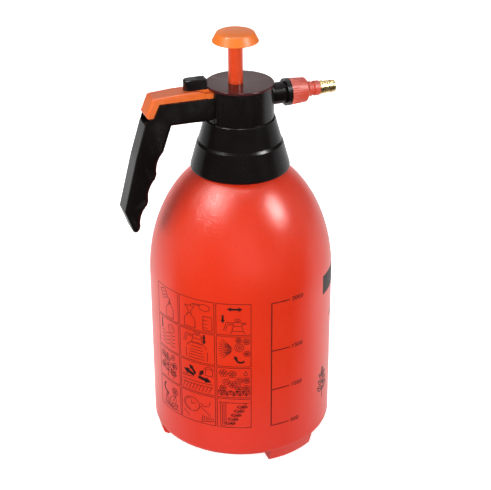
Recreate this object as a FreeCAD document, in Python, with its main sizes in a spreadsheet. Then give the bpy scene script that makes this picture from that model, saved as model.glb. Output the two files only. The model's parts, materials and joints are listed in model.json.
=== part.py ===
"""Hand pump sprayer of about two litres: a blown tank on three feet, a screw collar, and a head
with a piston pump, a lever-operated lift valve and an adjustable brass nozzle.

Millimetres, +Z up. The origin is on the tank's axis, level with the soles of the feet.
+X points the way the nozzle sprays, so the grip is on the -X side.
"""
import FreeCAD, Part
import math
import os
import re

import Sketcher

Vector = FreeCAD.Vector
Rotation = FreeCAD.Rotation

UP = Rotation()
FORWARD = Rotation(Vector(0, 1, 0), 90)      # local +Z becomes +X
SIDEWAYS = Rotation(Vector(1, 0, 0), -90)    # local +Z becomes +Y

# Driving dimensions: alias, value in millimetres (degrees for angles, plain counts for counts).
DIMENSIONS = (
    # tank
    ("tank_rad", 69.0), ("tank_wall", 2.4), ("foot_rise", 9.0), ("tank_edge", 5.0),
    ("shoulder_base", 137.0), ("shoulder_rise", 95.0), ("neck_rad", 26.0), ("neck_bore", 23.5),
    ("neck_top", 243.0), ("foot_inner", 50.0), ("foot_half_angle", 17.0), ("foot_turn", 46.5),
    ("foot_taper", 3.0), ("foot_count", 3.0), ("ring_inner", 46.0),
    # screw thread between the neck and the collar
    ("thread_depth", 1.6), ("thread_root", 1.8), ("thread_tip", 1.0), ("thread_pitch", 4.0),
    ("thread_start", 230.5), ("thread_run", 8.0), ("thread_gap", 0.3),
    # collar
    ("collar_low", 221.0), ("collar_ledge", 241.0), ("collar_cone", 243.0), ("collar_top", 259.5),
    ("collar_foot_rad", 37.0), ("collar_ledge_rad", 31.5), ("cone_foot_rad", 30.3),
    ("cone_top_rad", 25.7), ("collar_mouth", 34.8), ("collar_chamfer", 6.5),
    # head casing
    ("barrel_rad", 24.7), ("barrel_bore", 22.5), ("barrel_top", 284.0), ("flange_rad", 27.0),
    ("flange_thick", 3.0), ("gasket_thick", 2.0), ("deck_low", 255.5), ("deck_top", 259.5),
    ("slip", 0.05), ("ear_back", 22.2), ("ear_long", 6.0), ("ear_thick", 4.2), ("ear_drop", 3.2),
    ("window_back", 28.0), ("window_long", 8.0), ("window_low", 270.2), ("entry_long", 9.0),
    ("web_long", 6.0),
    # grip and arm
    ("arm_half", 9.4), ("arm_low", 262.0), ("arm_top", 279.0), ("arm_corner", 53.5),
    ("arm_root", 18.0), ("arm_back", 67.2), ("spine_high", 71.7), ("spine_high_level", 267.7),
    ("spine_middle", 80.3), ("spine_middle_level", 239.8), ("grip_heel", 90.3),
    ("grip_heel_level", 200.4), ("grip_toe", 83.0), ("grip_toe_level", 179.5),
    ("grip_end", 185.5), ("grip_lean", 18.83), ("grip_round", 3.0), ("ridge_round", 2.5),
    ("finger_high", 235.0), ("finger_middle", 215.0), ("finger_low", 195.6),
    ("groove_rad", 20.0), ("groove_depth", 1.9),
    # spout
    ("spout_level", 273.3), ("spout_rad", 7.9), ("spout_end", 34.0), ("spout_flange", 10.0),
    ("spout_face", 37.5), ("spigot_rad", 6.2), ("spigot_end", 45.0), ("spout_bore", 5.4),
    ("spigot_bore", 4.0), ("spout_root", 23.0),
    # lift valve
    ("valve_place", 17.5), ("boss_rad", 4.6), ("boss_top", 273.0), ("chamber_rad", 3.0),
    ("chamber_top", 269.2), ("seat_level", 260.5), ("seat_bore", 2.0), ("port_level", 267.0),
    ("gland_low", 271.0), ("stem_rad", 1.4), ("stem_head", 3.2), ("stem_head_low", 277.25),
    ("stem_head_thick", 1.8), ("valve_spring_wire", 0.2), ("valve_spring_turns", 3.0),
    # pump
    ("pump_place", -3.0), ("pump_out", 13.0), ("pump_bore", 11.5), ("pump_low", 176.0),
    ("pump_flange", 15.2), ("pump_flange_top", 261.5), ("pump_floor", 2.5), ("rod_rad", 5.3),
    ("piston_low", 214.0), ("knob_low", 316.0), ("knob_skirt", 17.0), ("knob_crown", 13.6),
    ("rod_nose", 3.5), ("piston_tall", 11.0), ("piston_waist", 8.5), ("knob_socket", 3.6),
    ("cage_low", 168.0), ("cage_out", 15.0), ("cage_top", 182.0), ("leaf_rad", 7.5),
    ("air_hole", 1.2), ("air_circle", 4.2), ("outlet_rad", 2.0), ("outlet_circle", 8.0),
    # top cover
    ("cover_top", 285.5), ("skirt_rad", 21.0), ("skirt_low", 281.0), ("guide_low", 279.8),
    ("guide_wall", 3.2), ("skirt_gap_half", 13.2), ("skirt_gap_low", 278.0),
    # trigger and lock
    ("trigger_half", 8.3), ("pivot_back", 19.0), ("pivot_level", 275.4), ("pin_rad", 1.5),
    ("pin_half", 12.0), ("plate_low", 279.3), ("plate_top", 284.8), ("plate_inner", 20.5),
    ("plate_bend", 62.0), ("plate_crown", 48.0), ("plate_back", 66.6), ("plate_back_level", 283.5),
    ("lip_inner", 66.7), ("lip_outer", 72.6), ("lip_low", 269.6), ("slope_start", 34.0),
    ("slope_end", 20.0), ("slope_drop", 5.0), ("channel_inner", 26.0), ("channel_low", 264.8),
    ("channel_bend_level", 273.6), ("lever_thick", 3.0), ("lock_half", 4.5),
    ("lock_inner", 25.3), ("lock_length", 16.7), ("lock_tall", 7.6), ("lock_travel", 6.0),
    ("keel_start", 5.5), ("keel_length", 5.0), ("thumb_groove", 0.9), ("thumb_pitch", 1.9),
    # dip tube
    ("tube_rad", 3.0), ("tube_bore", 2.0), ("tube_low", 14.5), ("filter_rad", 5.0),
    # nozzle
    ("nut_back_rad", 9.9), ("nut_front_rad", 9.0), ("nut_front", 49.9), ("nut_nose", 52.0),
    ("nut_bore", 6.25), ("lance_rad", 5.5), ("lance_shoulder", 61.0), ("lance_spigot", 3.2),
    ("lance_bore", 2.2), ("lance_tail", 4.6), ("lance_groove", 54.6), ("nut_ribs", 30.0),
    ("flute_rad", 0.8), ("tip_rad", 5.0), ("tip_end", 73.3), ("tip_step", 63.8),
    ("tip_chamber", 67.7), ("chamber_mouth", 2.6), ("orifice_rad", 0.6),
)

doc = FreeCAD.newDocument("PumpSprayer")
sheet = doc.addObject("Spreadsheet::Sheet", "Dims")
probe = doc.addObject("App::FeaturePython", "Probe")
nodes = []


def fill_sheet():
    """Write the driving dimensions, one row each: name in column A, value in column B."""
    for row, (alias, value) in enumerate(DIMENSIONS, start=1):
        sheet.set("A%d" % row, alias)
        sheet.set("B%d" % row, repr(value))
        sheet.setAlias("B%d" % row, alias)
    doc.recompute()


def scoped(expression):
    """Put the sheet's name before each alias in an expression."""
    return re.sub(r"\b([a-z][a-z_]*[a-z])\b(?!\()", r"Dims.\1", str(expression))


def size(expression):
    """Work an expression out as a plain number."""
    value = probe.evalExpression(scoped(expression))
    return float(getattr(value, "Value", value))


def keep(obj, label):
    """Name an object as one physical piece of the sprayer."""
    obj.Label = label
    nodes.append(obj)
    return obj


def origin_plane(body, role):
    for feature in body.Origin.OriginFeatures:
        if feature.Role == role:
            return feature
    raise ValueError(role)


def place(obj, x="0", y="0", z="0", turn=UP):
    """Place an object, with its position bound to the sheet."""
    obj.Placement = FreeCAD.Placement(Vector(size(x), size(y), size(z)), turn)
    for axis, expression in (("x", x), ("y", y), ("z", z)):
        if str(expression) != "0":
            obj.setExpression("Placement.Base." + axis, scoped(expression))
    return obj


def new_sketch(body, name, role="XZ_Plane", offset=None):
    sketch = body.newObject("Sketcher::SketchObject", name)
    sketch.AttachmentSupport = (origin_plane(body, role), [""])
    sketch.MapMode = "FlatFace"
    if offset is not None:
        sketch.AttachmentOffset = FreeCAD.Placement(Vector(0, 0, size(offset)), Rotation())
        sketch.setExpression("AttachmentOffset.Base.z", scoped(offset))
    return sketch


def pin_corner(sketch, edge, end, across, up):
    """Tie one end of a sketch line to a point given by two expressions."""
    if abs(size(across)) < 1e-9:
        sketch.addConstraint(Sketcher.Constraint("PointOnObject", edge, end, -2))
    else:
        index = sketch.addConstraint(
            Sketcher.Constraint("DistanceX", -1, 1, edge, end, size(across)))
        sketch.setExpression("Constraints[%d]" % index, scoped(across))
    if abs(size(up)) < 1e-9:
        sketch.addConstraint(Sketcher.Constraint("PointOnObject", edge, end, -1))
    else:
        index = sketch.addConstraint(
            Sketcher.Constraint("DistanceY", -1, 1, edge, end, size(up)))
        sketch.setExpression("Constraints[%d]" % index, scoped(up))


def outline(sketch, corners):
    """Draw a closed polygon whose corners are pairs of expressions."""
    first = len(sketch.Geometry)
    count = len(corners)
    spots = [Vector(size(across), size(up), 0) for across, up in corners]
    for i in range(count):
        sketch.addGeometry(Part.LineSegment(spots[i], spots[(i + 1) % count]))
    for i in range(count):
        following = first + (i + 1) % count
        sketch.addConstraint(Sketcher.Constraint("Coincident", first + i, 2, following, 1))
    for i, (across, up) in enumerate(corners):
        pin_corner(sketch, first + i, 1, across, up)


def circle(sketch, across, up, radius):
    spot = Vector(size(across), size(up), 0)
    edge = sketch.addGeometry(Part.Circle(spot, Vector(0, 0, 1), size(radius)))
    index = sketch.addConstraint(Sketcher.Constraint("Radius", edge, size(radius)))
    sketch.setExpression("Constraints[%d]" % index, scoped(radius))
    pin_corner(sketch, edge, 3, across, up)


def body_of(name):
    return doc.addObject("PartDesign::Body", name)


def revolve(body, name, corners):
    """Turn a half outline, given as (radius, height) pairs, about the body's Z axis."""
    sketch = new_sketch(body, name + "Sketch")
    outline(sketch, corners)
    feature = body.newObject("PartDesign::Revolution", name)
    feature.Profile = sketch
    feature.ReferenceAxis = (sketch, ["V_Axis"])
    feature.Angle = 360
    doc.recompute()
    return feature


def groove(body, name, corners):
    """Turn a groove of the given half outline out of the body."""
    sketch = new_sketch(body, name + "Sketch")
    outline(sketch, corners)
    before = body.Shape.Volume
    feature = body.newObject("PartDesign::Groove", name)
    feature.Profile = sketch
    feature.ReferenceAxis = (sketch, ["V_Axis"])
    feature.Angle = 360
    doc.recompute()
    check_cut(name, before, body)
    return feature


def check_cut(name, before, body):
    if body.Shape.Volume >= before - 1e-6:
        raise RuntimeError(name + " removed nothing")


def pad_across(body, name, corners, half):
    """Extrude an XZ outline by the same half width to both sides of Y = 0."""
    sketch = new_sketch(body, name + "Sketch")
    outline(sketch, corners)
    feature = body.newObject("PartDesign::Pad", name)
    feature.Profile = sketch
    feature.Midplane = True
    feature.setExpression("Length", scoped("2 * (%s)" % half))
    doc.recompute()
    return feature


def cut_across(body, name, corners, half):
    """Cut an XZ outline out of the body, by the same half width to both sides."""
    sketch = new_sketch(body, name + "Sketch")
    outline(sketch, corners)
    before = body.Shape.Volume
    feature = body.newObject("PartDesign::Pocket", name)
    feature.Profile = sketch
    feature.Midplane = True
    feature.setExpression("Length", scoped("2 * (%s)" % half))
    doc.recompute()
    check_cut(name, before, body)
    return feature


def cut_beyond(body, name, corners, near, side):
    """Cut an XZ outline from a distance off the XZ plane outwards: side 1 is -Y, side -1 is +Y."""
    sketch = new_sketch(body, name + "Sketch", "XZ_Plane", "%d * (%s)" % (side, near))
    outline(sketch, corners)
    before = body.Shape.Volume
    feature = body.newObject("PartDesign::Pocket", name)
    feature.Profile = sketch
    feature.Type = "ThroughAll"
    feature.Reversed = side > 0
    doc.recompute()
    check_cut(name, before, body)
    return feature


def cut_down(body, name, draw, depth=None, level="0"):
    """Cut what draw(sketch) puts on the XY plane at a level: a depth downwards, or right through."""
    sketch = new_sketch(body, name + "Sketch", "XY_Plane", level)
    draw(sketch)
    before = body.Shape.Volume
    feature = body.newObject("PartDesign::Pocket", name)
    feature.Profile = sketch
    if depth is None:
        feature.Type = "ThroughAll"
        feature.Midplane = True
    else:
        feature.setExpression("Length", scoped(depth))
    doc.recompute()
    check_cut(name, before, body)
    return feature


def repeat(body, name, features, count):
    """Repeat features evenly about the body's Z axis."""
    pattern = body.newObject("PartDesign::PolarPattern", name)
    pattern.Originals = features
    pattern.Axis = (origin_plane(body, "Z_Axis"), [""])
    pattern.Angle = 360
    pattern.Occurrences = int(size(count))
    pattern.setExpression("Occurrences", scoped(count))
    body.Tip = pattern
    doc.recompute()
    return pattern


def ring_edges(shape, rings):
    """Names of the circular edges about local Z at the given (radius, height) pairs."""
    names = []
    for index, edge in enumerate(shape.Edges, start=1):
        box = edge.BoundBox
        if box.ZLength > 0.01:
            continue
        for radius, height in rings:
            level = abs(box.ZMin - size(height)) < 0.02
            start = edge.Vertexes[0].Point
            if level and abs(math.hypot(start.x, start.y) - size(radius)) < 0.02:
                names.append("Edge%d" % index)
    return names


def chosen_edges(shape, test):
    return ["Edge%d" % i for i, edge in enumerate(shape.Edges, start=1) if test(edge)]


def fillet(body, name, edges, radius):
    if not edges:
        raise RuntimeError(name + " found no edges")
    base = body.Tip
    feature = body.newObject("PartDesign::Fillet", name)
    feature.Base = (base, edges)
    feature.setExpression("Radius", scoped(radius))
    doc.recompute()
    if "Invalid" in feature.State or "Error" in feature.State:
        raise RuntimeError("%s failed: %s" % (name, feature.getStatusString()))
    return feature


def fillet_rings(body, name, rings, radius):
    return fillet(body, name, ring_edges(body.Tip.Shape, rings), radius)


def cylinder(name, radius, height, x="0", y="0", z="0", turn=UP):
    solid = doc.addObject("Part::Cylinder", name)
    solid.setExpression("Radius", scoped(radius))
    solid.setExpression("Height", scoped(height))
    return place(solid, x, y, z, turn)


def block(name, length, width, height, x, y, z):
    solid = doc.addObject("Part::Box", name)
    solid.setExpression("Length", scoped(length))
    solid.setExpression("Width", scoped(width))
    solid.setExpression("Height", scoped(height))
    return place(solid, x, y, z)


def fuse(name, shapes):
    joined = doc.addObject("Part::MultiFuse", name)
    joined.Shapes = shapes
    joined.Refine = True
    doc.recompute()
    return joined


def cut(name, base, tool):
    result = doc.addObject("Part::Cut", name)
    result.Base = base
    result.Tool = tool
    result.Refine = True
    doc.recompute()
    return result


def helical_rib(body, name, root_radius, inward, start):
    """Add the screw thread: a trapezium swept along a helix, outwards or inwards."""
    side = "-1" if inward else "1"
    overlap = "-1 * (%s) * 0.3" % side
    root = "%s + %s" % (root_radius, overlap)
    tip = "%s + (%s) * thread_depth" % (root_radius, side)
    sketch = new_sketch(body, name + "Sketch")
    outline(sketch, [
        (root, "%s - thread_root / 2" % start), (tip, "%s - thread_tip / 2" % start),
        (tip, "%s + thread_tip / 2" % start), (root, "%s + thread_root / 2" % start)])
    feature = body.newObject("PartDesign::AdditiveHelix", name)
    feature.Profile = sketch
    feature.ReferenceAxis = (sketch, ["V_Axis"])
    feature.Mode = 0
    feature.setExpression("Pitch", scoped("thread_pitch"))
    feature.setExpression("Height", scoped("thread_run"))
    doc.recompute()
    return feature


# --------------------------------------------------------------------------- tank and collar

def tank_shell():
    """Blown shell: straight wall, elliptical shoulder and neck, turned about Z in one go."""
    def half_section(inset, floor, edge):
        radius = size("tank_rad") - inset
        neck = size("neck_bore" if inset else "neck_rad")
        rise = size("shoulder_rise") - inset
        base = size("shoulder_base")
        top = size("neck_top") + inset
        finish = math.asin(neck / radius)
        meet = base + rise * math.cos(finish)
        ellipse = Part.Ellipse(Vector(0, 0, base + rise), Vector(radius, 0, base), Vector(0, 0, base))
        bend = edge * (1 - math.sqrt(0.5))
        corner = Part.Arc(Vector(radius - edge, 0, floor), Vector(radius - bend, 0, floor + bend),
                          Vector(radius, 0, floor + edge))
        edges = [
            Part.makeLine(Vector(0, 0, floor), Vector(radius - edge, 0, floor)),
            corner.toShape(),
            Part.makeLine(Vector(radius, 0, floor + edge), Vector(radius, 0, base)),
            Part.ArcOfEllipse(ellipse, finish, math.pi / 2).toShape(),
            Part.makeLine(Vector(neck, 0, meet), Vector(neck, 0, top)),
            Part.makeLine(Vector(neck, 0, top), Vector(0, 0, top)),
            Part.makeLine(Vector(0, 0, top), Vector(0, 0, floor))]
        return Part.Face(Part.Wire(edges)).revolve(Vector(0, 0, 0), Vector(0, 0, 1), 360)

    wall = size("tank_wall")
    floor = size("foot_rise")
    edge = size("tank_edge")
    outside = half_section(0.0, floor, edge)
    inside = half_section(wall, floor + wall, edge - wall / 2)
    shell = doc.addObject("Part::Feature", "TankShell")
    shell.Shape = outside.cut(inside)
    shell.Placement = FreeCAD.Placement()
    return shell


def tank():
    """Tank: the blown shell with its neck thread, three hollow feet and the ring that joins them."""
    body = body_of("Tank")
    body.BaseFeature = tank_shell()
    doc.recompute()
    helical_rib(body, "NeckThread", "neck_rad", False, "thread_start")
    revolve(body, "StandingRing", [
        ("ring_inner", "0"), ("foot_inner + 1", "0"), ("foot_inner + 1", "foot_rise + 1"),
        ("ring_inner", "foot_rise + 1")])
    sketch = new_sketch(body, "FootSketch")
    outline(sketch, [
        ("foot_inner", "0"), ("tank_rad - foot_taper - 3", "0"), ("tank_rad - foot_taper", "2"),
        ("tank_rad", "foot_rise + tank_edge"), ("tank_rad - 1", "foot_rise + tank_edge"),
        ("tank_rad - 1 - tank_edge", "foot_rise + 1"), ("foot_inner", "foot_rise + 1")])
    foot = body.newObject("PartDesign::Revolution", "Foot")
    foot.Profile = sketch
    foot.ReferenceAxis = (sketch, ["V_Axis"])
    foot.Midplane = True
    foot.setExpression("Angle", scoped("2 * foot_half_angle"))
    doc.recompute()
    sketch = new_sketch(body, "FootHollowSketch")
    outline(sketch, [
        ("foot_inner + tank_wall", "tank_wall"), ("tank_rad - foot_taper - 3", "tank_wall"),
        ("tank_rad - tank_wall - 1.5", "foot_rise + 1"),
        ("tank_rad - tank_wall - 3", "foot_rise + tank_wall + 1"),
        ("foot_inner + tank_wall", "foot_rise + tank_wall + 1")])
    before = body.Shape.Volume
    hollow = body.newObject("PartDesign::Groove", "FootHollow")
    hollow.Profile = sketch
    hollow.ReferenceAxis = (sketch, ["V_Axis"])
    hollow.Midplane = True
    hollow.setExpression("Angle", scoped("2 * foot_half_angle - 5"))
    doc.recompute()
    check_cut("FootHollow", before, body)
    repeat(body, "Feet", [foot, hollow], "foot_count")
    body.Placement = FreeCAD.Placement(Vector(), Rotation(Vector(0, 0, 1), size("foot_turn")))
    return keep(body, "tank")


def screw_collar():
    """Two-step conical collar that clamps the head's flange on the neck."""
    body = body_of("ScrewCollar")
    shoulder = "neck_top + gasket_thick + flange_thick + slip"
    bore = "neck_rad + thread_depth + thread_gap"
    revolve(body, "CollarTurned", [
        ("collar_mouth", "collar_low"), ("collar_foot_rad", "collar_low"),
        ("collar_ledge_rad", "collar_ledge"), ("cone_foot_rad", "collar_cone"),
        ("cone_top_rad", "collar_top"), ("barrel_rad + slip", "collar_top"),
        ("barrel_rad + slip", shoulder), (bore, shoulder), (bore, "collar_low + collar_chamfer")])
    fillet_rings(body, "CollarFootEdge", [("collar_foot_rad", "collar_low")], "1.6")
    fillet_rings(body, "CollarLedgeEdge", [("collar_ledge_rad", "collar_ledge")], "0.9")
    fillet_rings(body, "CollarConeRoot", [("cone_foot_rad", "collar_cone")], "1.5")
    fillet_rings(body, "CollarTopEdge", [("cone_top_rad", "collar_top")], "0.5")
    helical_rib(body, "CollarThread", bore, True, "thread_start - thread_pitch / 2")
    return keep(body, "screw_collar")


def tank_gasket():
    body = body_of("TankGasket")
    revolve(body, "GasketTurned", [
        ("neck_bore", "neck_top"), ("neck_rad + 0.8", "neck_top"),
        ("neck_rad + 0.8", "neck_top + gasket_thick"), ("neck_bore", "neck_top + gasket_thick")])
    return keep(body, "tank_gasket")


# --------------------------------------------------------------------------- head casing

def barrel():
    """Round casing with its clamping flange, deck and valve boss."""
    low = "neck_top + gasket_thick"
    body = body_of("Barrel")
    revolve(body, "BarrelTurned", [
        ("barrel_bore", low), ("flange_rad", low), ("flange_rad", low + " + flange_thick"),
        ("barrel_rad", low + " + flange_thick"), ("barrel_rad", "barrel_top"),
        ("barrel_bore", "barrel_top"), ("barrel_bore", "deck_top"), ("0", "deck_top"),
        ("0", "deck_low"), ("barrel_bore", "deck_low")])
    fillet_rings(body, "DeckRoot", [("barrel_bore", "deck_low")], "1.5")
    return body


def grip_line(height):
    """Distance of the grip's front edge from the axis at a height, as an expression."""
    return "-(arm_corner + (arm_low - (%s)) * tan(grip_lean))" % height


def grip():
    """Arm and finger grip: an outline in the XZ plane with three finger hollows."""
    body = body_of("Grip")
    pad_across(body, "GripOutline", [
        ("-arm_root", "arm_low"), ("-arm_corner", "arm_low"), (grip_line("grip_end"), "grip_end"),
        ("-grip_toe", "grip_toe_level"), ("-grip_heel", "grip_heel_level"),
        ("-spine_middle", "spine_middle_level"), ("-spine_high", "spine_high_level"),
        ("-arm_back", "arm_top"), ("-arm_root", "arm_top")], "arm_half")
    hollows = new_sketch(body, "FingerSketch")
    offset = "groove_rad - groove_depth"
    for height in ("finger_high", "finger_middle", "finger_low"):
        across = "%s + (%s) * cos(grip_lean)" % (grip_line(height), offset)
        circle(hollows, across, "%s - (%s) * sin(grip_lean)" % (height, offset), "groove_rad")
    fingers = body.newObject("PartDesign::Pocket", "Fingers")
    fingers.Profile = hollows
    fingers.Midplane = True
    fingers.setExpression("Length", scoped("3 * arm_half"))
    before = body.Shape.Volume
    doc.recompute()
    check_cut("Fingers", before, body)
    return body


def trigger_slot(body):
    """Room in the casing for the trigger at rest and pressed, open at the top and the back."""
    behind = "-(grip_heel + 5)"
    above = "barrel_top + 9"
    cut_across(body, "ArmChannel", [
        ("-channel_inner", above), ("-channel_inner", "plate_low - 1.6"),
        ("-(plate_bend + 0.4)", "channel_bend_level"), ("-(lip_inner - 1.1)", "channel_low"),
        (behind, "channel_low"), (behind, above)], "trigger_half + 0.2")
    cut_across(body, "CornerRelief", [
        ("-(plate_bend - 0.2)", "barrel_top"), ("-(plate_bend - 0.2)", "plate_low - 0.4"),
        ("-(lip_inner - 0.1)", "lip_low - 0.4"), (behind, "lip_low - 0.4"),
        (behind, "barrel_top")], "arm_half + 5")


def head_casing():
    """Barrel, arm, grip and spout moulded as one casing."""
    handle = grip()
    ridges = chosen_edges(handle.Tip.Shape, finger_ridge)
    fillet(handle, "RidgeRound", ridges, "ridge_round")
    sides = chosen_edges(handle.Tip.Shape, outer_side_edge)
    fillet(handle, "GripRound", sides, "grip_round")
    trigger_slot(handle)
    spout = cylinder("SpoutTube", "spout_rad", "spout_end - spout_root", "spout_root", "0",
                     "spout_level", FORWARD)
    flange = cylinder("SpoutFlange", "spout_flange", "spout_face - spout_end", "spout_end", "0",
                      "spout_level", FORWARD)
    spigot = cylinder("Spigot", "spigot_rad", "spigot_end - spout_face", "spout_face", "0",
                      "spout_level", FORWARD)
    boss = cylinder("ValveBoss", "boss_rad", "boss_top - deck_low + 3", "valve_place", "0",
                    "deck_low - 3")
    web = block("BossWeb", "web_long", "2 * boss_rad", "boss_top - deck_low", "valve_place",
                "-boss_rad", "deck_low")
    ear_near = block("EarNear", "ear_long", "ear_thick", "barrel_top - deck_top - ear_drop",
                     "-ear_back", "-trigger_half - ear_thick - 0.4", "deck_top")
    ear_far = block("EarFar", "ear_long", "ear_thick", "barrel_top - deck_top - ear_drop",
                    "-ear_back", "trigger_half + 0.4", "deck_top")
    rib = block("ArmRib", "10", "5", "3", "-33", "-2.5", "collar_top + 0.4")
    core = cylinder("BarrelKeep", "barrel_bore", "barrel_top - deck_top", "0", "0", "deck_top")
    arm = cut("ArmOutside", handle, core)
    solid = fuse("CasingSolid", [barrel(), arm, spout, flange, spigot, boss, web, ear_near,
                                 ear_far, rib])
    tools = [
        block("Window", "window_long", "2 * (trigger_half + 0.2)", "barrel_top - window_low + 0.2",
              "-window_back", "-(trigger_half + 0.2)", "window_low"),
        block("EntryNotch", "entry_long", "2 * (trigger_half + 1.6)", "8", "-window_back",
              "-(trigger_half + 1.6)", "plate_low - 0.3"),
        cylinder("PumpHole", "pump_out + slip", "9", "pump_place", "0", "deck_low - 3"),
        cylinder("Chamber", "chamber_rad", "boss_top - seat_level", "valve_place", "0",
                 "seat_level"),
        cylinder("SeatBore", "seat_bore", "9", "valve_place", "0", "deck_low - 1"),
        cylinder("TubeSocket", "tube_rad + 0.02", "deck_top - deck_low + 3", "valve_place", "0",
                 "deck_low - 3"),
        cylinder("Port", "seat_bore", "6.5", "valve_place", "0", "port_level", FORWARD),
        cylinder("SpoutBore", "spout_bore", "spout_end - spout_root", "spout_root", "0",
                 "spout_level", FORWARD),
        cylinder("SpigotBore", "spigot_bore", "20", "spout_end - 2", "0", "spout_level", FORWARD),
        cylinder("PinHole", "pin_rad", "2 * pin_half", "-pivot_back", "-pin_half",
                 "pivot_level", SIDEWAYS),
        block("PinSlot", "2 * pin_rad", "2 * pin_half", "12", "-pivot_back - pin_rad",
              "-pin_half", "pivot_level"),
    ]
    result = cut("HeadCasing", solid, fuse("CasingTools", tools))
    return keep(result, "head_casing")


def finger_ridge(edge):
    """Edges across the grip where a finger hollow meets the next one, and the grip's tip."""
    box = edge.BoundBox
    across = box.YLength > 10 and box.XLength < 0.01
    ridge = -79 < box.XMin < -54 and 186 < box.ZMin < 250
    return across and (ridge or box.ZMin < 180)


def outer_side_edge(edge):
    """Edges of the arm and grip that run along its two flat sides."""
    box = edge.BoundBox
    half = size("arm_half")
    flat = box.YLength < 0.01 and abs(abs(box.YMin) - half) < 0.01
    inside_barrel = box.XMax > -19 and box.XLength < 1
    top = box.ZMin > size("arm_top") - 0.5
    return flat and not top and not inside_barrel


def top_cover():
    """Glossy lid that guides the pump rod and closes the casing."""
    body = body_of("TopCover")
    revolve(body, "CoverTurned", [
        ("0", "barrel_top"), ("skirt_rad", "barrel_top"), ("skirt_rad", "skirt_low"),
        ("barrel_bore - 0.1", "skirt_low"), ("barrel_bore - 0.1", "barrel_top"),
        ("barrel_rad", "barrel_top"), ("barrel_rad", "cover_top"), ("0", "cover_top")])
    fillet_rings(body, "CoverEdge", [("barrel_rad", "cover_top")], "0.5")
    guide = new_sketch(body, "GuideSketch", "XY_Plane", "guide_low")
    circle(guide, "pump_place", "0", "rod_rad + guide_wall")
    boss = body.newObject("PartDesign::Pad", "Guide")
    boss.Profile = guide
    boss.setExpression("Length", scoped("barrel_top - guide_low"))
    doc.recompute()
    cut_down(body, "RodHole", lambda s: circle(s, "pump_place", "0", "rod_rad + 0.06"))
    cut_down(body, "SkirtGap", lambda s: outline(s, [
        ("-barrel_rad", "-skirt_gap_half"), ("-rod_rad", "-skirt_gap_half"),
        ("-rod_rad", "skirt_gap_half"), ("-barrel_rad", "skirt_gap_half")]),
        depth="barrel_top - skirt_gap_low", level="barrel_top")
    return keep(body, "top_cover")


# --------------------------------------------------------------------------- pump

def pump_piece(name, label, corners):
    """A piece of the pump, turned about the pump's own axis."""
    body = body_of(name)
    revolve(body, name + "Turned", corners)
    place(body, "pump_place")
    return keep(body, label)


def pump_cylinder():
    body = pump_piece("PumpCylinder", "pump_cylinder", [
        ("0", "pump_low"), ("pump_out", "pump_low"), ("pump_out", "deck_top"),
        ("pump_flange", "deck_top"), ("pump_flange", "pump_flange_top"),
        ("pump_bore", "pump_flange_top"), ("pump_bore", "pump_low + pump_floor"),
        ("0", "pump_low + pump_floor")])
    groove(body, "SealGroove", [
        ("pump_out - 1.2", "deck_top - 3.2"), ("pump_out + 1", "deck_top - 3.2"),
        ("pump_out + 1", "deck_top - 1.4"), ("pump_out - 1.2", "deck_top - 1.4")])

    def air_holes(sketch):
        circle(sketch, "0", "0", "air_hole + 0.15")
        for across, up in (("air_circle", "0"), ("-air_circle", "0"), ("0", "air_circle"),
                           ("0", "-air_circle")):
            circle(sketch, across, up, "air_hole")
    cut_down(body, "AirHoles", air_holes, depth="6", level="pump_low + pump_floor + 1")
    return body


def cylinder_seal():
    return pump_piece("CylinderSeal", "cylinder_seal", [
        ("pump_out - 1.2", "deck_top - 3.1"), ("pump_out + 0.04", "deck_top - 3.1"),
        ("pump_out + 0.04", "deck_top - 1.5"), ("pump_out - 1.2", "deck_top - 1.5")])


def cylinder_cap():
    """Push-in cap that stops the piston and lets air in round the rod."""
    top = "pump_flange_top"
    return pump_piece("CylinderCap", "cylinder_cap", [
        ("rod_rad + 0.5", top + " - 3"), ("pump_bore", top + " - 3"), ("pump_bore", top),
        ("pump_flange - 0.2", top), ("pump_flange - 0.2", top + " + 1.6"),
        ("rod_rad + 0.5", top + " + 1.6")])


def pump_rod():
    return pump_piece("PumpRod", "pump_rod", [
        ("0", "piston_low"), ("rod_nose", "piston_low"), ("rod_nose", "piston_low + piston_tall"),
        ("rod_rad", "piston_low + piston_tall"), ("rod_rad", "knob_low + 0.5"),
        ("knob_socket", "knob_low + 0.5"), ("knob_socket", "knob_low + 4.5"),
        ("0", "knob_low + 4.5")])


def piston():
    low = "piston_low"
    return pump_piece("Piston", "piston", [
        ("rod_nose", low), ("pump_bore - 0.3", low), ("pump_bore - 0.3", low + " + 3"),
        ("piston_waist", low + " + 3"), ("piston_waist", low + " + piston_tall - 3"),
        ("pump_bore - 0.3", low + " + piston_tall - 3"),
        ("pump_bore - 0.3", low + " + piston_tall"), ("rod_nose", low + " + piston_tall")])


def piston_seal():
    """Rubber cup that seals on the down stroke and lets air past on the up stroke."""
    low = "piston_low + 3.1"
    return pump_piece("PistonSeal", "piston_seal", [
        ("piston_waist", low + " + 4.7"), ("pump_bore - 1.1", low + " + 4.7"),
        ("pump_bore - 0.04", low + " + 0.6"), ("pump_bore - 0.04", low), ("pump_bore - 1.1", low),
        ("pump_bore - 1.9", low + " + 2.6"), ("piston_waist", low + " + 2.6")])


def pump_knob():
    body = pump_piece("PumpKnob", "pump_knob", [
        ("knob_socket", "knob_low + 0.5"), ("knob_socket + 3", "knob_low + 0.5"),
        ("knob_skirt - 1.4", "knob_low"), ("knob_skirt", "knob_low"),
        ("knob_crown", "knob_low + 6.6"), ("knob_crown / 1.6", "knob_low + 8"),
        ("0", "knob_low + 8.6"), ("0", "knob_low + 4.5"), ("knob_socket", "knob_low + 4.5")])
    fillet_rings(body, "KnobShoulder", [("knob_crown", "knob_low + 6.6")], "1.8")
    fillet_rings(body, "KnobSkirt", [("knob_skirt", "knob_low")], "0.5")
    return body


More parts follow.
